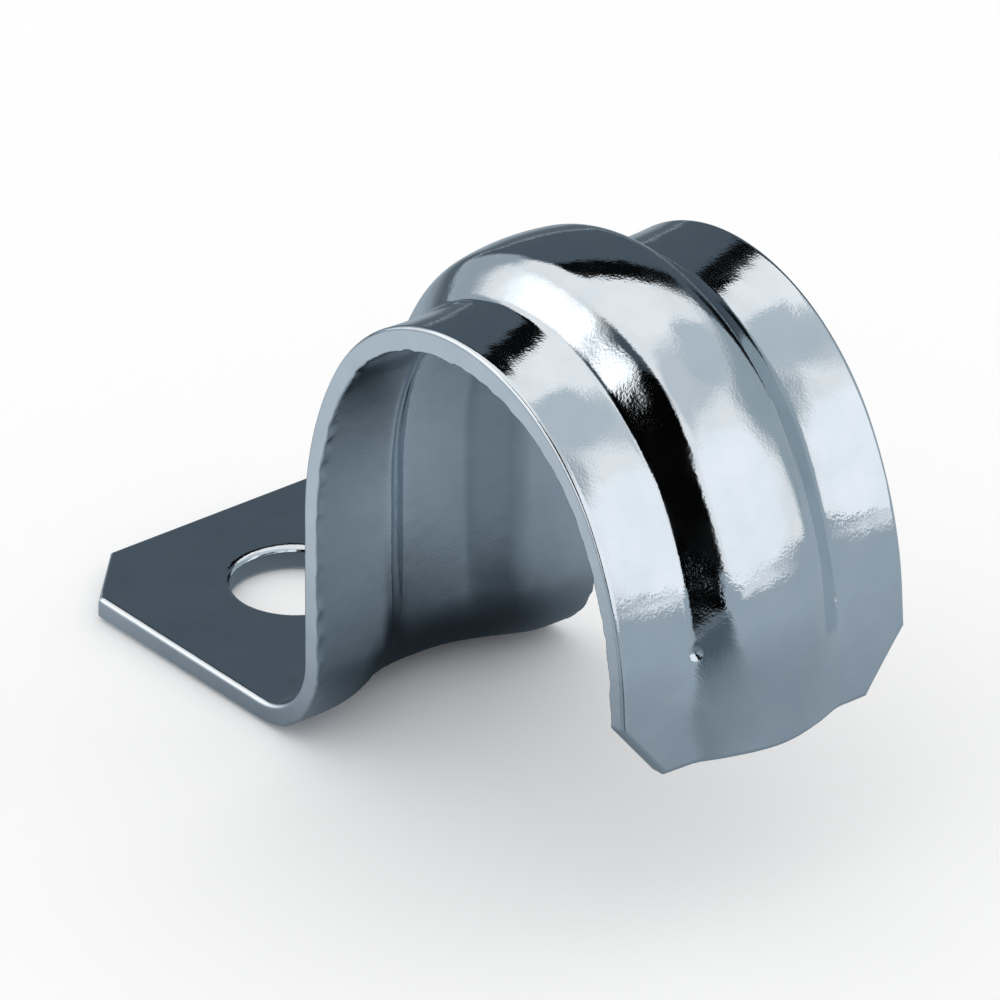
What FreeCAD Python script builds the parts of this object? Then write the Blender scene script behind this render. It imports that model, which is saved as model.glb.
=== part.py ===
"""One-hole conduit strap: a strip of zinc-plated sheet steel, pierced, cropped and folded in one piece.

The strip runs from a flat foot with a screw hole, through a bend, up a leg, over a round saddle and
down a short free leg that ends above the wall. A stiffening bead is pressed outwards along its middle:
it grows out of the foot through the bend, keeps its full section over the saddle and softens towards
the free end. The origin is the centre of the screw hole on the mounting face: +Z points away from the
wall, +X from the hole towards the conduit, and Y lies along the conduit.
"""
import FreeCAD, Part
import math
import os

import Sketcher

doc = FreeCAD.newDocument("conduit_strap")
vector = FreeCAD.Vector

# Driving dimensions, in millimetres and degrees
sizes = doc.addObject("Spreadsheet::Sheet", "sizes")
dimensions = (
    ("sheet_thickness", 1.2),
    ("strap_width", 19.2),
    ("saddle_radius", 11.7),
    ("saddle_half_angle", 60.0),
    ("saddle_width", 25.4),
    ("saddle_height", 29.7),
    ("hole_to_saddle", 26.9),
    ("hole_diameter", 7.1),
    ("foot_reach", 8.7),
    ("foot_corner", 3.65),
    ("bend_radius", 4.0),
    ("free_end_height", 9.8),
    ("free_leg_flare", 3.0),
    ("free_corner_across", 2.7),
    ("free_corner_up", 3.4),
    ("bead_height", 2.2),
    ("bead_base_width", 9.8),
    ("bead_crown_width", 5.7),
    ("bead_crown_rise", 0.3),
    ("bead_crease_turn", 0.2),
    ("bead_shoulder_turn", 0.6),
    ("bead_foot_run", 4.0),
    ("bead_leg_run", 2.5),
    ("bead_start_base_width", 15.0),
    ("bead_start_turn", 1.4),
    ("bead_runout_angle", 14.3),
    ("bead_end_height", 1.4),
    ("bead_end_base_width", 11.6),
    ("bead_end_crown_width", 4.4),
    ("bead_end_turn", 1.5),
)
for row, (alias, value) in enumerate(dimensions, start=1):
    sizes.set("A%d" % row, alias)
    sizes.set("B%d" % row, str(value))
    sizes.setAlias("B%d" % row, alias)
doc.recompute()


def size(alias):
    return float(sizes.get(alias))


# The path of the strip is its inner face, which touches the wall and the conduit, at mid width
thickness = size("sheet_thickness")
half_width = size("strap_width") / 2
saddle_x = size("hole_to_saddle")
half_gap = size("saddle_width") / 2
bend_outer_radius = size("bend_radius") + thickness
bend_x = saddle_x - half_gap - bend_outer_radius
foot_end_x = bend_x - size("bead_foot_run")

# The round crown of the saddle runs on into flatter flanks, which meet the legs
crown_radius = size("saddle_radius")
crown_z = size("saddle_height") - crown_radius
crown_half_angle = math.radians(size("saddle_half_angle"))
flank_radius = (half_gap - crown_radius * math.sin(crown_half_angle)) / (1 - math.sin(crown_half_angle))
flank_shift = (flank_radius - crown_radius) * math.sin(crown_half_angle)
flank_z = crown_z - (flank_radius - crown_radius) * math.cos(crown_half_angle)
flare = math.radians(size("free_leg_flare"))

# Centre, radius of the inner face, and the side of it on which the sheet lies
bend_arc = (vector(bend_x, 0, bend_outer_radius), bend_outer_radius, -1)
near_flank_arc = (vector(saddle_x + flank_shift, 0, flank_z), flank_radius, 1)
crown_arc = (vector(saddle_x, 0, crown_z), crown_radius, 1)
free_flank_arc = (vector(saddle_x - flank_shift, 0, flank_z), flank_radius, 1)


def on_arc(arc, angle):
    """Point on the inner face, and the direction out of the sheet there."""
    centre, radius, side = arc
    spoke = vector(math.cos(angle), 0, math.sin(angle))
    return centre + spoke * radius, spoke * side


# Cross-section of the sheet over a bead: its height, the half widths of its base and crown, the lengths
# along which the creases and the shoulders turn, and the rise of the crown from shoulders to ridge
full_bead = (
    size("bead_height"),
    size("bead_base_width") / 2,
    size("bead_crown_width") / 2,
    size("bead_crease_turn"),
    size("bead_shoulder_turn"),
    size("bead_crown_rise"),
)
start_bead = (
    0.0,
    size("bead_start_base_width") / 2,
    size("bead_crown_width") / 2,
    size("bead_start_turn"),
    size("bead_start_turn"),
    0.0,
)
end_bead = (
    size("bead_end_height"),
    size("bead_end_base_width") / 2,
    size("bead_end_crown_width") / 2,
    size("bead_end_turn"),
    size("bead_end_turn"),
    size("bead_crown_rise"),
)

# Creases and shoulders are short facets tangent to their arcs, which keeps the part light
crease_facets = 3
shoulder_facets = 4


def blend(first, second, share):
    """Section part of the way from one bead to another, easing in and out."""
    share = min(max(share, 0.0), 1.0)
    eased = share * share * (3 - 2 * share)
    return tuple(a + (b - a) * eased for a, b in zip(first, second))


def turn_corners(centre, reach, start, end, facets):
    """Corners of a turn from one slope to another, as tangent facets about its centre."""
    step = (end - start) / (facets + 1)
    reach = reach / math.cos(step / 2)
    slopes = [start + step * (count + 0.5) for count in range(facets + 1)]
    return [(centre[0] + reach * math.sin(slope), centre[1] + reach * math.cos(slope)) for slope in slopes]


def flat_corners(bead, lift):
    """Half a face of the section before the bead begins, divided as over the bead."""
    height, base, crown, crease, shoulder, rise = bead
    marks = [half_width]
    marks += [base + crease * (1 - 2 * count / crease_facets) for count in range(crease_facets + 1)]
    marks += [crown + shoulder * (1 - 2 * count / shoulder_facets) for count in range(shoulder_facets + 1)]
    marks += [crown / 2]
    return [(mark, lift) for mark in marks]


def bead_corners(bead, lift):
    """Half a face of the section over the bead, from the edge of the strip to beside the ridge."""
    height, base, crown, crease, shoulder, rise = bead
    shoulder_height = height - rise
    flank_slope = math.atan2(shoulder_height, base - crown)
    crown_slope = 2 * rise / (crown + shoulder)
    crease_radius = crease / math.tan(flank_slope / 2)
    shoulder_radius = shoulder / math.tan((flank_slope - crown_slope) / 2)
    ridge_radius = (crown - shoulder * math.cos(crown_slope)) / math.sin(crown_slope)
    crease_centre = (base + crease, thickness + crease_radius)
    shoulder_centre = (
        crown + shoulder * math.cos(flank_slope) - shoulder_radius * math.sin(flank_slope),
        thickness + shoulder_height - shoulder * math.sin(flank_slope) - shoulder_radius * math.cos(flank_slope),
    )
    ridge_centre = (0, shoulder_centre[1] - (ridge_radius - shoulder_radius) * math.cos(crown_slope))
    inset = thickness - lift
    corners = [(half_width, lift)]
    corners += turn_corners(crease_centre, -crease_radius - inset, 0, flank_slope, crease_facets)
    corners += turn_corners(shoulder_centre, shoulder_radius - inset, flank_slope, crown_slope, shoulder_facets)
    corners += turn_corners(ridge_centre, ridge_radius - inset, crown_slope, -crown_slope, 1)[:1]
    return corners


def section(name, point, outward, bead):
    """Outline of the sheet at one station of the path, as an object of the document."""
    half_face = bead_corners if bead[0] > 0 else flat_corners
    outer = half_face(bead, thickness)
    inner = half_face(bead, 0)
    far_outer = [(-across, above) for across, above in reversed(outer)]
    far_inner = [(-across, above) for across, above in inner]
    corners = outer + far_outer + far_inner + inner[::-1]
    points = [point + vector(0, across, 0) + outward * above for across, above in corners]
    outline = doc.addObject("Part::Feature", name)
    outline.Shape = Part.makePolygon(points + points[:1])
    return outline


# Stretches of the strip: straight or round where the bead is constant, lofted where it grows or softens
def straight(name, start, end, outward, bead):
    stretch = doc.addObject("Part::Extrusion", name)
    stretch.Base = section(name + "_section", start, outward, bead)
    stretch.DirMode = "Custom"
    stretch.Dir = (end - start).normalize()
    stretch.LengthFwd = (end - start).Length
    stretch.Solid = True
    return stretch


def round_stretch(name, arc, start_angle, end_angle, bead):
    point, outward = on_arc(arc, start_angle)
    stretch = doc.addObject("Part::Revolution", name)
    stretch.Source = section(name + "_section", point, outward, bead)
    stretch.Base = arc[0]
    stretch.Axis = vector(0, -1, 0)
    stretch.Angle = math.degrees(end_angle - start_angle)
    stretch.Solid = True
    return stretch


def lofted(name, stations):
    stretch = doc.addObject("Part::Loft", name)
    stretch.Sections = [section("%s_section_%d" % (name, count), *place) for count, place in enumerate(stations)]
    stretch.Solid = True
    return stretch


free_flank_start = math.pi / 2 - crown_half_angle
runout_angle = math.radians(size("bead_runout_angle"))
free_leg_start, free_leg_outward = on_arc(free_flank_arc, flare)
free_leg_direction = vector(math.sin(flare), 0, -math.cos(flare))
free_leg_length = (free_leg_start.z - size("free_end_height")) / math.cos(flare)
free_leg_end = free_leg_start + free_leg_direction * free_leg_length

# The bead grows from nothing on the foot to its full height at the top of the bend. It starts wide and
# soft, and draws in to its full section from the foot's end of the bend to a little way up the leg.
foot_run = size("bead_foot_run")
leg_run = size("bead_leg_run")
bend_run = bend_outer_radius * math.pi / 2


def growing_bead(run):
    """Bead at a distance from where it begins on the foot."""
    height, _, _, _, _, rise = blend(start_bead, full_bead, run / (foot_run + bend_run))
    _, base, crown, crease, shoulder, _ = blend(start_bead, full_bead, (run - foot_run) / (bend_run + leg_run))
    return height, base, crown, crease, shoulder, rise


foot_steps = 3
bend_steps = 6
near_leg_steps = 2
foot_stations = []
for step in range(foot_steps + 1):
    run = foot_run * step / foot_steps
    foot_stations.append((vector(foot_end_x + run, 0, 0), vector(0, 0, 1), growing_bead(run)))
bend_stations = []
for step in range(bend_steps + 1):
    turn = math.pi / 2 * step / bend_steps
    run = foot_run + bend_outer_radius * turn
    bend_stations.append(on_arc(bend_arc, turn - math.pi / 2) + (growing_bead(run),))
leg_foot, leg_outward = on_arc(bend_arc, 0)
near_leg_stations = []
for step in range(near_leg_steps + 1):
    run = leg_run * step / near_leg_steps
    place = leg_foot + vector(0, 0, run)
    near_leg_stations.append((place, leg_outward, growing_bead(foot_run + bend_run + run)))

# It softens again from the free flank to the end of the free leg
flank_run = flank_radius * (runout_angle - flare)
runout = flank_run + free_leg_length
flank_steps = 2
leg_steps = 3
flank_stations = []
for step in range(flank_steps + 1):
    run = flank_run * step / flank_steps
    angle = runout_angle - run / flank_radius
    flank_stations.append(on_arc(free_flank_arc, angle) + (blend(full_bead, end_bead, run / runout),))
leg_stations = []
for step in range(leg_steps + 1):
    run = free_leg_length * step / leg_steps
    softness = (flank_run + run) / runout
    place = free_leg_start + free_leg_direction * run
    leg_stations.append((place, free_leg_outward, blend(full_bead, end_bead, softness)))

leg_top, leg_outward = on_arc(near_flank_arc, math.pi)
crown_start = math.pi / 2 + crown_half_angle
stretches = [
    lofted("foot_bead", foot_stations),
    lofted("bend", bend_stations),
    lofted("near_leg_foot", near_leg_stations),
    straight("near_leg", near_leg_stations[-1][0], leg_top, leg_outward, full_bead),
    round_stretch("near_flank", near_flank_arc, math.pi, crown_start, full_bead),
    round_stretch("crown", crown_arc, crown_start, free_flank_start, full_bead),
    round_stretch("free_flank", free_flank_arc, free_flank_start, runout_angle, full_bead),
    lofted("free_flank_runout", flank_stations),
    lofted("free_leg", leg_stations),
]


def origin_plane(body, role):
    return [plane for plane in body.Origin.OriginFeatures if plane.Role == role][0]


def closed_outline(sketch, corners):
    """Straight-sided outline in a sketch: a start value and an expression hold each coordinate."""
    first = sketch.GeometryCount
    count = len(corners)
    for index in range(count):
        (x, _), (y, _) = corners[index]
        (next_x, _), (next_y, _) = corners[(index + 1) % count]
        sketch.addGeometry(Part.LineSegment(vector(x, y, 0), vector(next_x, next_y, 0)))
    for index in range(count):
        line = first + index
        next_line = first + (index + 1) % count
        sketch.addConstraint(Sketcher.Constraint("Coincident", line, 2, next_line, 1))
        for kind, (start, expression) in zip(("DistanceX", "DistanceY"), corners[index]):
            held = sketch.addConstraint(Sketcher.Constraint(kind, -1, 1, line, 1, start))
            sketch.setExpression("Constraints[%d]" % held, expression)


# Foot: flat, with its two outer corners cropped and the screw hole pierced through it
foot = doc.addObject("PartDesign::Body", "foot")
foot_sketch = foot.newObject("Sketcher::SketchObject", "foot_outline")
foot_sketch.AttachmentSupport = [(origin_plane(foot, "XY_Plane"), "")]
foot_sketch.MapMode = "FlatFace"
reach = size("foot_reach")
crop = size("foot_corner")
reach_text = "-sizes.foot_reach"
crop_x_text = "sizes.foot_corner - sizes.foot_reach"
edge_text = "sizes.strap_width / 2"
crop_y_text = "sizes.strap_width / 2 - sizes.foot_corner"
join_text = ("sizes.hole_to_saddle - sizes.saddle_width / 2 - sizes.bend_radius"
             " - sizes.sheet_thickness - sizes.bead_foot_run")
closed_outline(foot_sketch, (
    ((foot_end_x, join_text), (-half_width, "-(%s)" % edge_text)),
    ((foot_end_x, join_text), (half_width, edge_text)),
    ((crop - reach, crop_x_text), (half_width, edge_text)),
    ((-reach, reach_text), (half_width - crop, crop_y_text)),
    ((-reach, reach_text), (crop - half_width, "-(%s)" % crop_y_text)),
    ((crop - reach, crop_x_text), (-half_width, "-(%s)" % edge_text)),
))
foot_pad = foot.newObject("PartDesign::Pad", "foot_plate")
foot_pad.Profile = foot_sketch
foot_pad.setExpression("Length", "sizes.sheet_thickness")
hole_sketch = foot.newObject("Sketcher::SketchObject", "hole_outline")
hole_sketch.AttachmentSupport = [(origin_plane(foot, "XY_Plane"), "")]
hole_sketch.MapMode = "FlatFace"
hole_sketch.addGeometry(Part.Circle(vector(0, 0, 0), vector(0, 0, 1), size("hole_diameter") / 2))
hole_sketch.addConstraint(Sketcher.Constraint("Coincident", 0, 3, -1, 1))
hole_size = hole_sketch.addConstraint(Sketcher.Constraint("Diameter", 0, size("hole_diameter")))
hole_sketch.setExpression("Constraints[%d]" % hole_size, "sizes.hole_diameter")
doc.recompute()
screw_hole = foot.newObject("PartDesign::Pocket", "screw_hole")
screw_hole.Profile = hole_sketch
screw_hole.Type = "ThroughAll"
screw_hole.Reversed = True
foot.Tip = screw_hole

# The free leg's two corners are cropped by wedges that stand clear of the rest of the strip
corner_sketch = doc.addObject("Sketcher::SketchObject", "free_corner_outline")
facing_out = FreeCAD.Rotation(vector(0, 1, 0), vector(0, 0, 1), vector(1, 0, 0), "XYZ")
corner_sketch.Placement = FreeCAD.Placement(vector(saddle_x, 0, 0), facing_out)
corner_sketch.setExpression("Placement.Base.x", "sizes.hole_to_saddle")
across = size("free_corner_across")
up = size("free_corner_up")
end_z = size("free_end_height")
low_text = "sizes.free_end_height - sizes.free_corner_up"
high_text = "sizes.free_end_height + 2 * sizes.free_corner_up"
outside_text = "sizes.strap_width / 2 + sizes.free_corner_across"
inside_text = "sizes.strap_width / 2 - 2 * sizes.free_corner_across"
for side, sign in ((1, ""), (-1, "-")):
    closed_outline(corner_sketch, (
        ((side * (half_width - 2 * across), "%s(%s)" % (sign, inside_text)), (end_z - up, low_text)),
        ((side * (half_width + across), "%s(%s)" % (sign, outside_text)), (end_z - up, low_text)),
        ((side * (half_width + across), "%s(%s)" % (sign, outside_text)), (end_z + 2 * up, high_text)),
    ))
free_corners = doc.addObject("Part::Extrusion", "free_corners")
free_corners.Base = corner_sketch
free_corners.DirMode = "Normal"
free_corners.setExpression("LengthFwd", "sizes.saddle_width")
free_corners.Solid = True

folded_strip = doc.addObject("Part::MultiFuse", "folded_strip")
folded_strip.Shapes = [foot] + stretches
folded_strip.Refine = True
strap = doc.addObject("Part::Cut", "strap")
strap.Label = "strap"
strap.Base = folded_strip
strap.Tool = free_corners
doc.recompute()

for item in doc.Objects:
    if "Invalid" in item.State or "Error" in item.State:
        raise RuntimeError("%s did not build" % item.Name)
if strap.Shape.isNull() or not strap.Shape.isValid() or len(strap.Shape.Solids) != 1:
    raise RuntimeError("the strap is not one sound solid")

os.makedirs("parts", exist_ok=True)
strap.Shape.exportStep("parts/%s.step" % strap.Label)
box = strap.Shape.BoundBox
print("strap: %.0f mm3, %.2f x %.2f x %.2f mm" % (strap.Shape.Volume, box.XLength, box.YLength, box.ZLength))
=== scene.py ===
import math

import bmesh
import bpy
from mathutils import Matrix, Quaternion, Vector


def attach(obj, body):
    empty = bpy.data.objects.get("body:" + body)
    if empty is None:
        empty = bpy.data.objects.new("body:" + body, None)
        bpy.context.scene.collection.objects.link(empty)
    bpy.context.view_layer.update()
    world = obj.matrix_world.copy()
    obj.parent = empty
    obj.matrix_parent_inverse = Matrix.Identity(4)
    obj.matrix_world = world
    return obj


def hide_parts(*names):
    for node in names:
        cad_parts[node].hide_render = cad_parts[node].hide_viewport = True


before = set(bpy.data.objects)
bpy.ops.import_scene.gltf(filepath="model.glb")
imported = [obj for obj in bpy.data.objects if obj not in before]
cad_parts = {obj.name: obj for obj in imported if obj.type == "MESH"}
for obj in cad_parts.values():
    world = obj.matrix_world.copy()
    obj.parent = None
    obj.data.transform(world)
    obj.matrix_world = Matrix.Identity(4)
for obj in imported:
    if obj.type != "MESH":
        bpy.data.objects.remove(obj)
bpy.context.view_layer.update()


# Strap: a one-hole conduit strap. It starts as a flat blank of 1.2 mm sheet steel, cropped at its four
# corners and pierced for one screw. A press pushes a stiffening bead outwards along its middle and folds
# it over the conduit, and the finished part is zinc plated. Its sizes are in millimetres.
MM = 0.001
THICKNESS = 1.2
WIDTH = 19.2
HOLE_RADIUS = 3.55
FOOT_REACH = 8.7
FOOT_CORNER = 3.65
FOOT_FAR_CORNER = 1.9
FREE_CORNER_ACROSS = 2.7
FREE_CORNER_UP = 3.4

BEND_RADIUS = 4.0
HOLE_TO_SADDLE = 26.9
SADDLE_RADIUS = 11.7
SADDLE_HALF_ANGLE = math.radians(60)
SADDLE_WIDTH = 25.4
SADDLE_HEIGHT = 29.7
FREE_LEG_FLARE = math.radians(3)
FREE_END_HEIGHT = 9.8

BEAD_FOOT_RUN = 4.0
BEAD_LEG_RUN = 2.5
BEAD_RUNOUT_ANGLE = math.radians(14.3)
CREASE_END_HEIGHT = 16.4
CREASE_FADE = 1.4

# Shearing rolls the sheet's outer edge over and tears the inner one. The punch rolls the hole's rim wider.
ROLLED_EDGE = 0.28
TORN_EDGE = 0.15
HOLE_ROLL = 0.5

half_gap = SADDLE_WIDTH / 2
fold_radius = BEND_RADIUS + THICKNESS
foot_length = FOOT_REACH + HOLE_TO_SADDLE - half_gap - fold_radius
arc_share = math.sin(SADDLE_HALF_ANGLE)
flank_radius = (half_gap - SADDLE_RADIUS * arc_share) / (1 - arc_share)
flank_rise = (flank_radius - SADDLE_RADIUS) * math.cos(SADDLE_HALF_ANGLE)
flank_turn = math.pi / 2 - SADDLE_HALF_ANGLE
leg_length = SADDLE_HEIGHT - SADDLE_RADIUS - flank_rise - fold_radius
free_leg_top = SADDLE_HEIGHT - SADDLE_RADIUS - flank_rise + flank_radius * math.sin(FREE_LEG_FLARE)
free_leg_length = (free_leg_top - FREE_END_HEIGHT) / math.cos(FREE_LEG_FLARE)

# Each stretch of the strip, from the foot over both flanks and the crown of the saddle to the free leg: its
# length on the inner face, and the angle through which it turns
stretches = (
    (foot_length, 0.0),
    (fold_radius * math.pi / 2, math.pi / 2),
    (leg_length, 0.0),
    (flank_radius * flank_turn, -flank_turn),
    (SADDLE_RADIUS * 2 * SADDLE_HALF_ANGLE, -2 * SADDLE_HALF_ANGLE),
    (flank_radius * (flank_turn - FREE_LEG_FLARE), FREE_LEG_FLARE - flank_turn),
    (free_leg_length, 0.0),
)
stations = [0.0]
for length, _ in stretches:
    stations.append(stations[-1] + length)
bend_start, leg_start, leg_end, crown_start, crown_end, free_leg_start, strip_length = stations[1:]
bead_start = bend_start - BEAD_FOOT_RUN
bead_sharp = leg_start + BEAD_LEG_RUN
runout_start = free_leg_start - flank_radius * (BEAD_RUNOUT_ANGLE - FREE_LEG_FLARE)
crease_end = strip_length - (CREASE_END_HEIGHT - FREE_END_HEIGHT) / math.cos(FREE_LEG_FLARE)


def fold_line(step):
    """Curve object along the inner face of the folded strip, from the end of the foot to the free end."""
    x, z, heading = -FOOT_REACH, 0.0, 0.0
    points = [(x, z)]
    for length, turn in stretches:
        count = math.ceil(length / step)
        for _ in range(count):
            middle = heading + turn / count / 2
            chord = length / count
            if turn:
                chord = 2 * length / turn * math.sin(turn / count / 2)
            x += chord * math.cos(middle)
            z += chord * math.sin(middle)
            heading += turn / count
            points.append((x, z))
    curve = bpy.data.curves.new("fold_line", "CURVE")
    curve.dimensions = "3D"
    spline = curve.splines.new("POLY")
    spline.points.add(len(points) - 1)
    for point, (px, pz) in zip(spline.points, points):
        point.co = (px, 0.0, pz, 1.0)
    return bpy.data.objects.new("fold_line", curve)


def spaced(knots):
    """Places from knot to knot. After the first, a knot is a place and the spacing that leads to it."""
    places = [knots[0]]
    for end, spacing in knots[1:]:
        start = places[-1]
        count = max(1, round((end - start) / spacing))
        places += [start + (end - start) * share / count for share in range(1, count + 1)]
    return places


def between(value, marks, moved):
    """Value carried from one list of marks to another, evenly between them."""
    for low, high, new_low, new_high in zip(marks, marks[1:], moved, moved[1:]):
        if value <= high:
            return new_low + (new_high - new_low) * (value - low) / (high - low)
    return moved[-1]


def blank():
    """Flat blank: x along the strip, y across it, z from the inner face to the outer one."""
    foot_slope = 1.0
    free_slope = FREE_CORNER_ACROSS / FREE_CORNER_UP

    def corner_end(across, slope, inset):
        """How far along the strip a cropped corner reaches, on an outline moved in by the inset."""
        return (across - inset + inset * math.hypot(1, slope)) / slope

    def placed(along, across, inset):
        """Point of the even grid, drawn in so that the grid fills the cropped outline less the inset."""
        marks = (0, FOOT_CORNER, 2 * FOOT_CORNER, strip_length - 2 * FREE_CORNER_UP)
        marks += (strip_length - FREE_CORNER_UP, strip_length)
        foot_corner = FOOT_CORNER + (FOOT_FAR_CORNER - FOOT_CORNER) * (across / WIDTH + 0.5)
        foot_end = corner_end(foot_corner, foot_slope, inset)
        free_end = corner_end(FREE_CORNER_ACROSS, free_slope, inset)
        moved = (inset, foot_end, marks[2], marks[3], strip_length - free_end, strip_length - inset)
        x = between(along, marks, moved)
        foot_crop = WIDTH / 2 - foot_corner + x * foot_slope - inset * math.hypot(1, foot_slope)
        free_crop = WIDTH / 2 - FREE_CORNER_ACROSS + (strip_length - x) * free_slope
        free_crop -= inset * math.hypot(1, free_slope)
        return x, across / (WIDTH / 2) * min(WIDTH / 2 - inset, foot_crop, free_crop)

    # The grid is fine where the sheet will turn sharply: at the bead's shoulders and creases, and at the
    # edge with its burr. The opening for the hole's rings ends where the creases' rows begin.
    shoulder_near = 2.0
    shoulder_far = 3.4
    hole_margin = 4.4
    crease_far = 5.4
    burr_near = 8.6
    rim = 0.06
    half_rows = spaced((
        0.0,
        (shoulder_near, 0.4),
        (shoulder_far, 0.14),
        (hole_margin, 0.25),
        (crease_far, 0.1),
        (burr_near, 0.5),
        (WIDTH / 2 - rim, 0.19),
    ))
    half_rows.append(WIDTH / 2)
    rows = [-row for row in half_rows[:0:-1]] + half_rows
    columns = spaced((
        0.0,
        (rim, rim),
        (FOOT_CORNER, 0.6),
        (FOOT_REACH - hole_margin, 0.3),
        (FOOT_REACH + hole_margin, 0.55),
        (bead_start, 0.3),
        (bend_start, 0.25),
        (leg_start, 0.16),
        (leg_end, 0.3),
        (free_leg_start, 0.2),
        (strip_length - FREE_CORNER_UP, 0.2),
        (strip_length - rim, 0.2),
        (strip_length, rim),
    ))
    last_column = len(columns) - 1
    last_row = len(rows) - 1

    # The opening's reach is a hair more than its margin, so that the rows and columns on the margin count
    block_reach = hole_margin + 0.01
    hole_rows = [number for number, row in enumerate(rows) if abs(row) < block_reach]
    hole_columns = [number for number, place in enumerate(columns) if abs(place - FOOT_REACH) < block_reach]

    def border(first_column, end_column, first_row, end_row):
        """Cells round a block of the grid, in order."""
        near = [(column, first_row) for column in range(first_column, end_column)]
        far_side = [(end_column, row) for row in range(first_row, end_row)]
        back = [(column, end_row) for column in range(end_column, first_column, -1)]
        return near + far_side + back + [(first_column, row) for row in range(end_row, first_row, -1)]

    outline = border(0, last_column, 0, last_row)
    hole_block = (hole_columns[0], hole_columns[-1], hole_rows[0], hole_rows[-1])
    hole_border = border(*hole_block)
    mesh = bmesh.new()

    def bridge(rings):
        """Faces from each ring to the next."""
        for ring, next_ring in zip(rings, rings[1:]):
            for number in range(len(ring)):
                after = (number + 1) % len(ring)
                mesh.faces.new((ring[number], ring[after], next_ring[after], next_ring[number]))

    # Profile of a sheared edge from the outer face to the inner one: inset from the outline, and height.
    # Three rings on its straight part keep the roll and the tear apart.
    tear_near = 0.04
    tear_far = 0.2
    edge_profile = []
    for share in range(6):
        angle = math.pi / 2 * share / 5
        inset = ROLLED_EDGE * (1 - math.sin(angle))
        edge_profile.append((inset, THICKNESS - ROLLED_EDGE * (1 - math.cos(angle))))
    for height in (THICKNESS - ROLLED_EDGE - rim, TORN_EDGE + tear_far, TORN_EDGE + tear_near):
        edge_profile.append((0.0, height))
    for share in range(4):
        angle = math.pi / 2 * share / 3
        inset = TORN_EDGE * (1 - math.cos(angle))
        edge_profile.append((inset, TORN_EDGE * (1 - math.sin(angle))))

    # Outer and inner face, both open where the hole's rings go
    faces = []
    for height, inset in ((THICKNESS, ROLLED_EDGE), (0.0, TORN_EDGE)):
        grid = []
        for place in columns:
            grid.append([mesh.verts.new((*placed(place, row, inset), height)) for row in rows])
        for column in range(last_column):
            for row in range(last_row):
                in_columns = hole_block[0] <= column < hole_block[1]
                in_rows = hole_block[2] <= row < hole_block[3]
                if not (in_columns and in_rows):
                    mesh.faces.new((
                        grid[column][row],
                        grid[column + 1][row],
                        grid[column + 1][row + 1],
                        grid[column][row + 1],
                    ))
        faces.append(grid)

    # Edge of the outline
    rings = [[faces[0][column][row] for column, row in outline]]
    for inset, height in edge_profile[1:-1]:
        rings.append([mesh.verts.new((*placed(columns[c], rows[r], inset), height)) for c, r in outline])
    rings.append([faces[1][column][row] for column, row in outline])
    bridge(rings)

    # Screw hole: rings from the grid inwards to the rim, then down its wall
    corners = [faces[0][column][row].co for column, row in hole_border]
    directions = [Vector((corner.x - FOOT_REACH, corner.y)) for corner in corners]

    def hole_ring(share, reach, height):
        """Ring at a share of the way from the grid's opening to a circle of that reach."""
        ring = []
        for direction in directions:
            radius = direction.length + (reach - direction.length) * share
            spot = direction.normalized() * radius
            ring.append(mesh.verts.new((FOOT_REACH + spot.x, spot.y, height)))
        return ring

    rings = [[faces[0][column][row] for column, row in hole_border]]
    rings += [hole_ring(share, HOLE_RADIUS + HOLE_ROLL, THICKNESS) for share in (0.5, 0.9)]
    for inset, height in edge_profile:
        stretch = HOLE_ROLL / ROLLED_EDGE if height > THICKNESS / 2 else 1.0
        rings.append(hole_ring(1, HOLE_RADIUS + inset * stretch, height))
    rings += [hole_ring(share, HOLE_RADIUS + TORN_EDGE, 0.0) for share in (0.9, 0.5)]
    rings.append([faces[1][column][row] for column, row in hole_border])
    bridge(rings)

    bmesh.ops.recalc_face_normals(mesh, faces=mesh.faces)
    flat = bpy.data.meshes.new("blank")
    mesh.to_mesh(flat)
    mesh.free()
    return flat


def add(tree, kind, inputs, **settings):
    """Adds a node with its settings. Inputs are values or outputs of other nodes, by name or number."""
    node = tree.nodes.new(kind)
    for name, value in settings.items():
        setattr(node, name, value)
    for name, value in inputs.items():
        if isinstance(value, bpy.types.NodeSocket):
            tree.links.new(value, node.inputs[name])
        else:
            node.inputs[name].default_value = value
    return node.outputs


# The bead where it starts, over the saddle and at the free end. Base and crown are half widths, crease and
# shoulder say how softly the section turns there, and dish is how far the bands beside the bead are dished.
START_BEAD = {
    "height": 2.2, "base": 7.5, "crown": 2.85, "rise": 0.3, "crease": 0.57, "shoulder": 0.57, "dish": 0.0,
}
FULL_BEAD = {
    "height": 2.2, "base": 4.9, "crown": 2.85, "rise": 0.3, "crease": 0.26, "shoulder": 0.7, "dish": 0.1,
}
END_BEAD = {
    "height": 1.4, "base": 5.8, "crown": 2.2, "rise": 0.3, "crease": 0.45, "shoulder": 0.45, "dish": 0.05,
}


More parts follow.
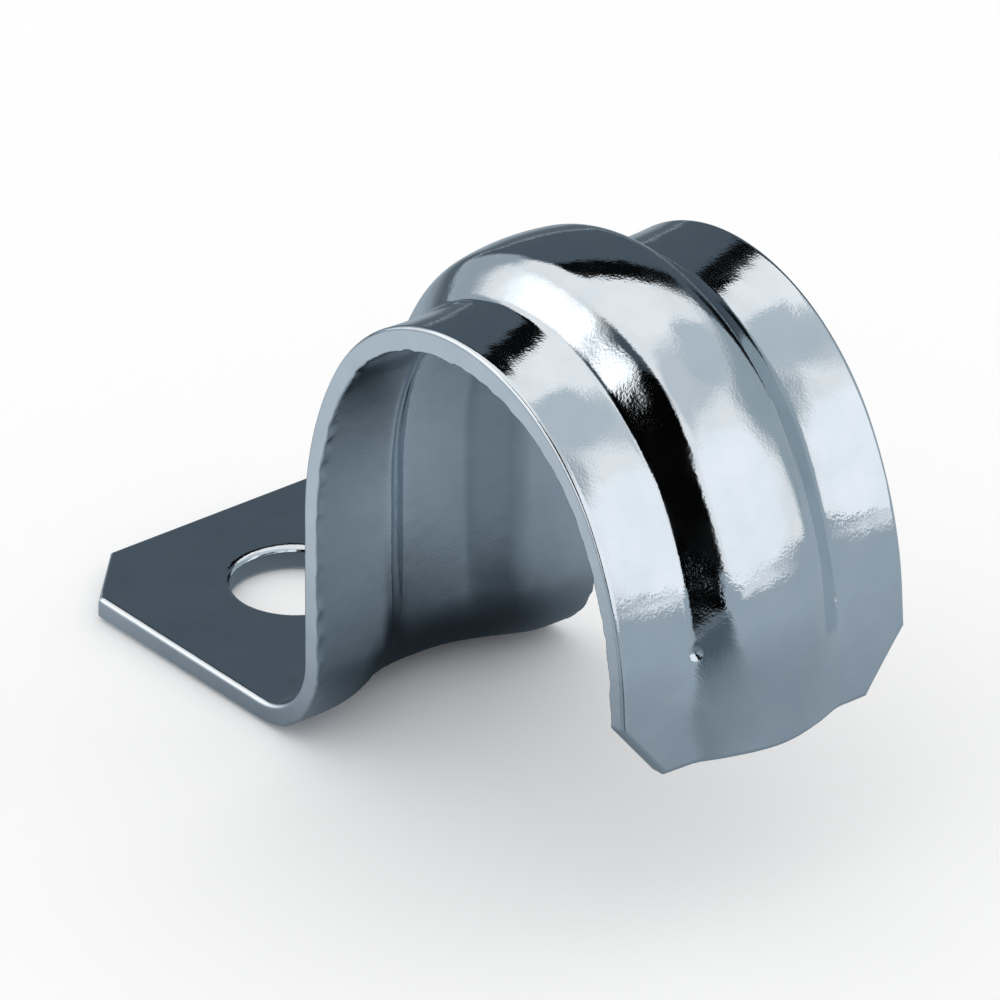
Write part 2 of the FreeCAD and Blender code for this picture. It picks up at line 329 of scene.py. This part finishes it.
def bead_section():
    """Node group: height of the outer face over the bands at a distance across the strip."""
    tree = bpy.data.node_groups.new("bead_section", "GeometryNodeTree")
    for name in ("across", *FULL_BEAD):
        tree.interface.new_socket(name, in_out="INPUT", socket_type="NodeSocketFloat")
    tree.interface.new_socket("raised", in_out="OUTPUT", socket_type="NodeSocketFloat")
    given = add(tree, "NodeGroupInput", {})
    distance = add(tree, "ShaderNodeMath", {0: given["across"]}, operation="ABSOLUTE")[0]

    # The flank rises from crease to shoulder, and the ridge falls a little from the middle to the shoulder
    inputs = {0: given["height"], 1: given["rise"]}
    flank_height = add(tree, "ShaderNodeMath", inputs, operation="SUBTRACT")[0]
    inputs = {0: given["base"], 1: given["crown"]}
    flank_width = add(tree, "ShaderNodeMath", inputs, operation="SUBTRACT")[0]
    slope = add(tree, "ShaderNodeMath", {0: flank_height, 1: flank_width}, operation="DIVIDE")[0]
    inside = add(tree, "ShaderNodeMath", {0: given["base"], 1: distance}, operation="SUBTRACT")[0]
    flank = add(tree, "ShaderNodeMath", {0: inside, 1: slope}, operation="MULTIPLY")[0]
    share = add(tree, "ShaderNodeMath", {0: distance, 1: given["crown"]}, operation="DIVIDE")[0]
    squared = add(tree, "ShaderNodeMath", {0: share, 1: 2.0}, operation="POWER")[0]
    fall = add(tree, "ShaderNodeMath", {0: squared, 1: given["rise"]}, operation="MULTIPLY")[0]
    ridge = add(tree, "ShaderNodeMath", {0: given["height"], 1: fall}, operation="SUBTRACT")[0]
    inputs = {0: flank, 1: ridge, 2: given["shoulder"]}
    top = add(tree, "ShaderNodeMath", inputs, operation="SMOOTH_MIN")[0]

    # The bands beside the bead are not quite flat: each is dished a little between crease and edge
    inputs = {"Value": distance, "From Min": given["base"], "From Max": WIDTH / 2, "To Min": -1.0}
    share = add(tree, "ShaderNodeMapRange", inputs)[0]
    squared = add(tree, "ShaderNodeMath", {0: share, 1: share}, operation="MULTIPLY")[0]
    hollow = add(tree, "ShaderNodeMath", {0: squared, 1: 1.0}, operation="SUBTRACT")[0]
    band = add(tree, "ShaderNodeMath", {0: hollow, 1: given["dish"]}, operation="MULTIPLY")[0]
    inputs = {0: top, 1: band, 2: given["crease"]}
    raised = add(tree, "ShaderNodeMath", inputs, operation="SMOOTH_MAX")[0]
    add(tree, "NodeGroupOutput", {"raised": raised})
    return tree


# Each crease ends in a small pit, where the press tool's corner has bitten
PIT_ACROSS = 4.75
PIT_RADIUS = 0.4
PIT_DEPTH = 0.2

# Shearing has dragged a rough burr inwards along both edges. It is deepest over the crown. It grows over the
# last half millimetre before the edge and over the inner half of the sheet, and its lumps go in and out.
BURR_DEPTH = 0.34
BURR_WIDTH = 0.55
BURR_FULL_WIDTH = 0.2
BURR_TOP = 0.6
BURR_LUMP = 0.9
BURR_ROUGHNESS = 0.2


def folding(line, plating):
    """Geometry Nodes tree that raises the bead on the flat blank and folds it along the line."""
    tree = bpy.data.node_groups.new("press_and_fold", "GeometryNodeTree")
    tree.interface.new_socket("Geometry", in_out="INPUT", socket_type="NodeSocketGeometry")
    for name, value in (
        ("thickness", THICKNESS),
        ("bead start", bead_start),
        ("bead full", leg_start),
        ("sharpening start", bend_start),
        ("bead sharp", bead_sharp),
        ("run-out start", runout_start),
        ("crease fade", CREASE_FADE),
        ("crease end", crease_end),
        ("strip length", strip_length),
        ("pit across", PIT_ACROSS),
        ("pit radius", PIT_RADIUS),
        ("pit depth", PIT_DEPTH),
        ("burr start", crown_start),
        ("burr deepest", (crown_start + crown_end) / 2),
        ("burr end", crown_end),
        ("burr depth", BURR_DEPTH),
        ("burr across", WIDTH / 2 - BURR_WIDTH),
        ("burr full across", WIDTH / 2 - BURR_FULL_WIDTH),
        ("burr top", BURR_TOP),
    ):
        socket = tree.interface.new_socket(name, in_out="INPUT", socket_type="NodeSocketFloat")
        socket.default_value = value
    tree.interface.new_socket("Geometry", in_out="OUTPUT", socket_type="NodeSocketGeometry")
    given = add(tree, "NodeGroupInput", {})
    place = add(tree, "GeometryNodeInputPosition", {})[0]
    along, across, above = add(tree, "ShaderNodeSeparateXYZ", {0: place})

    def eased(start, end):
        """Share that grows from 0 to 1 between two places along the strip."""
        inputs = {"Value": along, "From Min": start, "From Max": end}
        return add(tree, "ShaderNodeMapRange", inputs, interpolation_type="SMOOTHSTEP")[0]

    # How far the bead has grown and drawn in, and how far it and its creases have softened again
    growth = eased(given["bead start"], given["bead full"])
    sharpness = eased(given["sharpening start"], given["bead sharp"])
    fading = eased(given["run-out start"], given["strip length"])
    inputs = {0: given["crease end"], 1: given["crease fade"]}
    crease_fade_start = add(tree, "ShaderNodeMath", inputs, operation="SUBTRACT")[0]
    crease_fading = eased(crease_fade_start, given["crease end"])
    bead = {}
    for name, full in FULL_BEAD.items():
        share = crease_fading if name == "crease" else fading
        bead[name] = add(tree, "ShaderNodeMix", {0: share, 2: full, 3: END_BEAD[name]})[0]
        bead[name] = add(tree, "ShaderNodeMix", {0: sharpness, 2: START_BEAD[name], 3: bead[name]})[0]
        if name not in ("base", "crown"):
            bead[name] = add(tree, "ShaderNodeMath", {0: bead[name], 1: growth}, operation="MULTIPLY")[0]

    # The outer face over this point, and its slope from two points close by. The bands' dish is left out of
    # the slope, so that the edges stay upright and the strip keeps its width.
    section = bead_section()
    span = 0.02
    left = add(tree, "ShaderNodeMath", {0: across, 1: span / 2}, operation="SUBTRACT")[0]
    right = add(tree, "ShaderNodeMath", {0: across, 1: span / 2}, operation="ADD")[0]
    heights = []
    for spot, dish in ((across, bead["dish"]), (left, 0.0), (right, 0.0)):
        inputs = {**bead, "across": spot, "dish": dish}
        heights.append(add(tree, "GeometryNodeGroup", inputs, node_tree=section)[0])
    fall = add(tree, "ShaderNodeMath", {0: heights[1], 1: heights[2]}, operation="SUBTRACT")[0]
    lean = add(tree, "ShaderNodeCombineXYZ", {"Y": fall, "Z": span})[0]
    facing = add(tree, "ShaderNodeVectorMath", {0: lean}, operation="NORMALIZE")[0]

    # Pits
    apart = add(tree, "ShaderNodeMath", {0: across}, operation="ABSOLUTE")[0]
    pit_run = add(tree, "ShaderNodeMath", {0: along, 1: given["crease end"]}, operation="SUBTRACT")[0]
    pit_side = add(tree, "ShaderNodeMath", {0: apart, 1: given["pit across"]}, operation="SUBTRACT")[0]
    from_pit = add(tree, "ShaderNodeCombineXYZ", {0: pit_run, 1: pit_side})[0]
    pit_distance = add(tree, "ShaderNodeVectorMath", {0: from_pit}, operation="LENGTH")["Value"]
    inputs = {"Value": pit_distance, "From Min": given["pit radius"], "From Max": 0.0}
    inputs["To Max"] = given["pit depth"]
    pit = add(tree, "ShaderNodeMapRange", inputs, interpolation_type="SMOOTHSTEP")[0]

    # Burr
    burr_start = eased(given["burr start"], given["burr deepest"])
    burr_end = eased(given["burr end"], given["burr deepest"])
    burr_reach = add(tree, "ShaderNodeMath", {0: burr_start, 1: burr_end}, operation="MINIMUM")[0]
    inputs = {"Value": apart, "From Min": given["burr across"], "From Max": given["burr full across"]}
    by_edge = add(tree, "ShaderNodeMapRange", inputs)[0]
    inputs = {"Value": above, "From Min": given["burr top"], "From Max": TORN_EDGE}
    by_face = add(tree, "ShaderNodeMapRange", inputs)[0]
    by_both = add(tree, "ShaderNodeMath", {0: by_edge, 1: by_face}, operation="MULTIPLY")[0]
    lumps = add(tree, "ShaderNodeTexNoise", {"Vector": place, "Scale": 1 / BURR_LUMP, "Detail": 4.0})[0]
    inputs = {0: lumps, 1: 2 * BURR_ROUGHNESS, 2: -BURR_ROUGHNESS}
    torn = add(tree, "ShaderNodeMath", inputs, operation="MULTIPLY_ADD")[0]
    inputs = {0: burr_reach, 1: given["burr depth"], 2: torn}
    burr = add(tree, "ShaderNodeMath", inputs, operation="MULTIPLY_ADD")[0]
    burr = add(tree, "ShaderNodeMath", {0: burr, 1: by_both}, operation="MULTIPLY")[0]
    burr = add(tree, "ShaderNodeMath", {0: burr, 1: growth}, operation="MULTIPLY")[0]

    # The sheet keeps its thickness below the outer face
    reached = add(tree, "ShaderNodeMath", {0: above, 1: burr}, operation="SUBTRACT")[0]
    depth = add(tree, "ShaderNodeMath", {0: reached, 1: given["thickness"]}, operation="SUBTRACT")[0]
    inward = add(tree, "ShaderNodeVectorMath", {0: facing, "Scale": depth}, operation="SCALE")[0]
    _, inward_across, inward_up = add(tree, "ShaderNodeSeparateXYZ", {0: inward})
    new_across = add(tree, "ShaderNodeMath", {0: across, 1: inward_across}, operation="ADD")[0]
    pitted = add(tree, "ShaderNodeMath", {0: heights[0], 1: pit}, operation="SUBTRACT")[0]
    outer = add(tree, "ShaderNodeMath", {0: pitted, 1: given["thickness"]}, operation="ADD")[0]
    new_above = add(tree, "ShaderNodeMath", {0: outer, 1: inward_up}, operation="ADD")[0]

    # Fold along the line
    shown = add(tree, "GeometryNodeObjectInfo", {"Object": line})["Geometry"]
    sampled = add(tree, "GeometryNodeSampleCurve", {"Curves": shown, "Length": along}, mode="LENGTH")
    inputs = {0: sampled["Tangent"], 1: (0, 1, 0)}
    outward = add(tree, "ShaderNodeVectorMath", inputs, operation="CROSS_PRODUCT")[0]
    lift = add(tree, "ShaderNodeVectorMath", {0: outward, "Scale": new_above}, operation="SCALE")[0]
    sideways = add(tree, "ShaderNodeCombineXYZ", {"Y": new_across})[0]
    moved = add(tree, "ShaderNodeVectorMath", {0: sampled["Position"], 1: sideways}, operation="ADD")[0]
    moved = add(tree, "ShaderNodeVectorMath", {0: moved, 1: lift}, operation="ADD")[0]
    metres = add(tree, "ShaderNodeVectorMath", {0: moved, "Scale": MM}, operation="SCALE")[0]
    folded = add(tree, "GeometryNodeSetPosition", {"Geometry": given["Geometry"], "Position": metres})[0]
    smooth = add(tree, "GeometryNodeSetShadeSmooth", {0: folded})[0]
    real = add(tree, "GeometryNodeRealizeInstances", {0: smooth})[0]
    plated = add(tree, "GeometryNodeSetMaterial", {0: real, "Material": plating})[0]
    add(tree, "NodeGroupOutput", {0: plated})
    return tree


def linear(hex_colour):
    """Linear colour of an sRGB hex value."""
    channels = [int(hex_colour[place:place + 2], 16) / 255 for place in (1, 3, 5)]
    return [value / 12.92 if value <= 0.04045 else ((value + 0.055) / 1.055) ** 2.4 for value in channels]


# Clouds where the zinc is duller and greyer, and waves and grain from rolling the sheet. The real grain is
# finer, and is drawn as coarse as it needs to be to show.
CLOUD_SIZE = 2.5
WAVE_SIZE = 1.5
WAVE_HEIGHT = 0.02
GRAIN_SIZE = 0.16
GRAIN_HEIGHT = 0.0045


def zinc_plating():
    """Bright zinc plating on rolled steel. It gives a bluish mirror with frayed edges and faint clouds."""
    material = bpy.data.materials.new("bright_zinc_plating")
    material.use_nodes = True
    tree = material.node_tree
    shader = tree.nodes["Principled BSDF"]
    shader.inputs["Metallic"].default_value = 1.0
    place = add(tree, "ShaderNodeTexCoord", {})["Object"]

    inputs = {"Vector": place, "Scale": 1 / (CLOUD_SIZE * MM), "Detail": 3.0, "Roughness": 0.55}
    cloud = add(tree, "ShaderNodeTexNoise", inputs)["Fac"]
    inputs = {"Value": cloud, "From Min": 0.35, "From Max": 0.7, "To Min": 0.04, "To Max": 0.1}
    dullness = add(tree, "ShaderNodeMapRange", inputs, interpolation_type="SMOOTHSTEP")[0]
    tree.links.new(dullness, shader.inputs["Roughness"])
    inputs = {"Factor": cloud, 6: (*linear("#e2e8ed"), 1), 7: (*linear("#ccd5dc"), 1)}
    tint = add(tree, "ShaderNodeMix", inputs, data_type="RGBA")[2]
    tree.links.new(tint, shader.inputs["Base Color"])

    # Reflections wobble with the waves, and fray at their edges with the grain
    inputs = {"Vector": place, "Scale": 1 / (WAVE_SIZE * MM), "Detail": 1.0}
    wave = add(tree, "ShaderNodeTexNoise", inputs)["Fac"]
    inputs = {"Vector": place, "Scale": 1 / (GRAIN_SIZE * MM), "Detail": 1.0, "Roughness": 0.5}
    grain = add(tree, "ShaderNodeTexNoise", inputs)["Fac"]
    inputs = {"Height": wave, "Strength": 1.0, "Distance": WAVE_HEIGHT * MM}
    waved = add(tree, "ShaderNodeBump", inputs)[0]
    inputs = {"Height": grain, "Normal": waved, "Strength": 1.0, "Distance": GRAIN_HEIGHT * MM}
    grained = add(tree, "ShaderNodeBump", inputs)[0]
    tree.links.new(grained, shader.inputs["Normal"])
    return material


line = fold_line(step=0.1)
bpy.context.scene.collection.objects.link(line)
strap = bpy.data.objects.new("folded_strap", blank())
bpy.context.scene.collection.objects.link(strap)
strap.data.materials.append(zinc_plating())
press = strap.modifiers.new("press_and_fold", "NODES")
press.node_group = folding(line, strap.data.materials[0])
evaluated = strap.evaluated_get(bpy.context.evaluated_depsgraph_get())
formed = bpy.data.meshes.new_from_object(evaluated)
strap.modifiers.clear()
strap.data = formed
bpy.data.objects.remove(line)
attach(strap, "root")
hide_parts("strap")


# Studio: the strap stands on white paper under an even white light. Cards that only the metal mirrors
# stand round it, as a photographer sets softboxes and black flags round bright metal, over a grey table.
# The paper lies 0.2 mm under the strap, and the table's patches lie between them.
FLOOR_HALF_SIDE = 3000.0
FLOOR_DROP = 0.2
PATCH_STEP = 0.02
CARDS_CENTRE = Vector((22.0, 0.0, 20.0))
OVAL_POWER = 4.0


def square(name, half_side):
    """Flat square face, linked to the scene."""
    mesh = bpy.data.meshes.new(name)
    ends = ((-1, -1), (1, -1), (1, 1), (-1, 1))
    mesh.from_pydata([(x * half_side, y * half_side, 0) for x, y in ends], [], [(0, 1, 2, 3)])
    made = bpy.data.objects.new(name, mesh)
    bpy.context.scene.collection.objects.link(made)
    return made


floor = square("floor", FLOOR_HALF_SIDE * MM)
floor.location.z = -FLOOR_DROP * MM
paper = bpy.data.materials.new("white_paper")
paper.use_nodes = True
paper_shader = paper.node_tree.nodes["Principled BSDF"]
paper_shader.inputs["Base Color"].default_value = (1, 1, 1, 1)
paper_shader.inputs["Roughness"].default_value = 1.0
paper_shader.inputs["Specular IOR Level"].default_value = 0.0
floor.data.materials.append(paper)

world = bpy.data.worlds.new("white_light")
world.use_nodes = True
world.node_tree.nodes["Background"].inputs["Color"].default_value = (1, 1, 1, 1)
world.node_tree.nodes["Background"].inputs["Strength"].default_value = 1.0
bpy.context.scene.world = world


def direction(azimuth, elevation):
    """Direction in which a viewer's place lies, in the frame's degrees."""
    around, up = math.radians(azimuth), math.radians(elevation)
    return Vector((math.sin(around) * math.cos(up), -math.cos(around) * math.cos(up), math.sin(up)))


def card(name, colour, strength, soft, middle, facing, half_size):
    """Oval card with a soft edge that shows in the metal and nowhere else."""
    made = square(name, 1)
    made.location = middle
    made.rotation_euler = facing.to_euler()
    made.scale = (*half_size, 1)
    material = bpy.data.materials.new(name)
    material.use_nodes = True
    tree = material.node_tree
    tree.nodes.clear()

    # How far out on the oval a point lies, from 0 in the middle to 1 at the edge. The power squares it up.
    place = add(tree, "ShaderNodeTexCoord", {})["Object"]
    sideways, upwards, _ = add(tree, "ShaderNodeSeparateXYZ", {0: place})
    parts = []
    for distance in (sideways, upwards):
        away = add(tree, "ShaderNodeMath", {0: distance}, operation="ABSOLUTE")[0]
        parts.append(add(tree, "ShaderNodeMath", {0: away, 1: OVAL_POWER}, operation="POWER")[0])
    outwards = add(tree, "ShaderNodeMath", {0: parts[0], 1: parts[1]}, operation="ADD")[0]
    outwards = add(tree, "ShaderNodeMath", {0: outwards, 1: 1 / OVAL_POWER}, operation="POWER")[0]
    inputs = {"Value": outwards, "From Min": 1.0, "From Max": 1.0 - soft}
    share = add(tree, "ShaderNodeMapRange", inputs, interpolation_type="SMOOTHSTEP")[0]
    glow = add(tree, "ShaderNodeEmission", {"Color": (*linear(colour), 1), "Strength": strength})[0]
    clear = add(tree, "ShaderNodeBsdfTransparent", {})[0]
    mixed = add(tree, "ShaderNodeMixShader", {0: share, 1: clear, 2: glow})[0]
    add(tree, "ShaderNodeOutputMaterial", {"Surface": mixed})
    material.cycles.emission_sampling = "NONE"
    made.data.materials.append(material)
    for ray in ("camera", "diffuse", "transmission", "volume_scatter", "shadow"):
        setattr(made, "visible_" + ray, False)


def standing(name, colour, strength, azimuth, elevation, wide, high, turn, soft, reach):
    """Card facing the strap: place and size in degrees from the cards' centre, and reach in metres."""
    forward = direction(azimuth, elevation)
    half_size = [reach * math.tan(math.radians(span / 2)) for span in (wide, high)]
    facing = (-forward).to_track_quat("Z", "Y") @ Quaternion((0, 0, 1), math.radians(turn))
    card(name, colour, strength, soft, CARDS_CENTRE * MM + forward * reach, facing, half_size)


def lying(name, colour, x, y, half_length, half_width, turn, soft, level):
    """Patch on the table, in millimetres. A patch with a higher level lies over those below it."""
    middle = Vector((x, y, (level + 1) * PATCH_STEP - FLOOR_DROP)) * MM
    facing = Quaternion((0, 0, 1), math.radians(turn))
    card(name, colour, 1.0, soft, middle, facing, (half_length * MM, half_width * MM))


standing("top_softbox", "#ffffff", 1.05, -110, 66, 59, 40, 0, 0.12, 1.55)
standing("ceiling", "#d4dbe0", 1.0, 112, 64, 64, 36, 0, 0.5, 1.50)
standing("upper_wall", "#c8d2d8", 1.0, 165, 54, 32, 20, 0, 0.3, 1.45)
standing("right_softbox", "#eceef1", 1.3, 96, 20, 80, 54, 0, 0.25, 1.40)
standing("right_wall", "#a3b0b7", 1.0, 168, 16, 62, 70, 0, 0.35, 1.30)
standing("back_wall", "#535e67", 1.0, -142, 15, 100, 62, 0, 0.25, 1.25)
standing("left_wall", "#a5b0b8", 1.0, -92, 8, 28, 48, 0, 0.5, 1.22)
standing("black_back_flag", "#0b0c0d", 1.0, -130, 40, 40, 15, 0, 0.3, 1.15)
standing("black_side_flag", "#0f1112", 1.0, -162, 12, 24, 34, 0, 0.6, 1.10)
standing("front_softbox", "#ffffff", 1.6, -37, 37, 78, 30, -25, 0.5, 1.20)
standing("grey_above_camera", "#4b565d", 1.0, 8, 58, 62, 22, 0, 0.6, 1.10)
standing("black_camera_flag", "#050505", 1.0, 28, 42, 32, 40, -24, 0.25, 1.00)
standing("black_tripod_flag", "#050505", 1.0, 37, 12, 25, 84, -24, 0.25, 0.90)

# The table's darker patches are painted shade: table_shade and contact_shade darken it round and under the
# strap where its shadow falls, and the tripod patches are the tripod's painted shadow and dark reflection on
# the table.
lying("table", "#a8b4bd", 22, 0, 1400, 1400, 0, 0.05, 0)
lying("table_back", "#5f6a71", -330, 250, 380, 300, -40, 0.35, 1)
lying("table_right", "#f6f8fa", 561, 165, 370, 160, 18, 0.3, 1)
lying("table_shade", "#64717b", 14, -14, 80, 62, 0, 1.0, 2)
lying("table_front", "#c6cfd6", -30, -44, 70, 46, 0, 0.6, 3)
lying("table_behind", "#eef2f5", 2, 40, 30, 17, 0, 0.6, 3)
lying("tripod_shade", "#050505", 442, -450, 430, 50, -48, 0.25, 4)
lying("tripod_foot_shade", "#55626c", 80, -38, 52, 17, -47, 0.8, 5)
lying("tripod_near_shade", "#050505", 153, -125, 92, 15, -47, 0.25, 6)
lying("contact_shade", "#20262b", 10, 2, 20, 17, 0, 0.9, 7)


# Camera: the photograph's viewing angle, from so far off that parallel lines stay parallel. It looks at a
# point beside the strap's middle, which sets the strap where it stands in the photograph.
PHOTO = 1000
PIXELS_PER_MM = 18.604
LENS = 1700.0
SENSOR = 36.0
AZIMUTH = 51.9
ELEVATION = 29.4
STRAP_MIDDLE = Vector((17.0, 0.0, 16.5))
AIM_RIGHT = 0.575
AIM_DOWN = 2.424
back = direction(AZIMUTH, ELEVATION)
right_view = Vector((0, 0, 1)).cross(back).normalized()
up_view = back.cross(right_view)
aim = STRAP_MIDDLE + right_view * AIM_RIGHT - up_view * AIM_DOWN
distance = PHOTO / PIXELS_PER_MM * LENS / SENSOR
camera_data = bpy.data.cameras.new("camera")
camera_data.sensor_width = SENSOR
camera_data.lens = LENS
camera_data.clip_end = 100
camera = bpy.data.objects.new("camera", camera_data)
camera.location = (aim + back * distance) * MM
camera.rotation_euler = back.to_track_quat("Z", "Y").to_euler()
bpy.context.scene.collection.objects.link(camera)
bpy.context.scene.camera = camera
bpy.context.scene.view_settings.view_transform = "Standard"
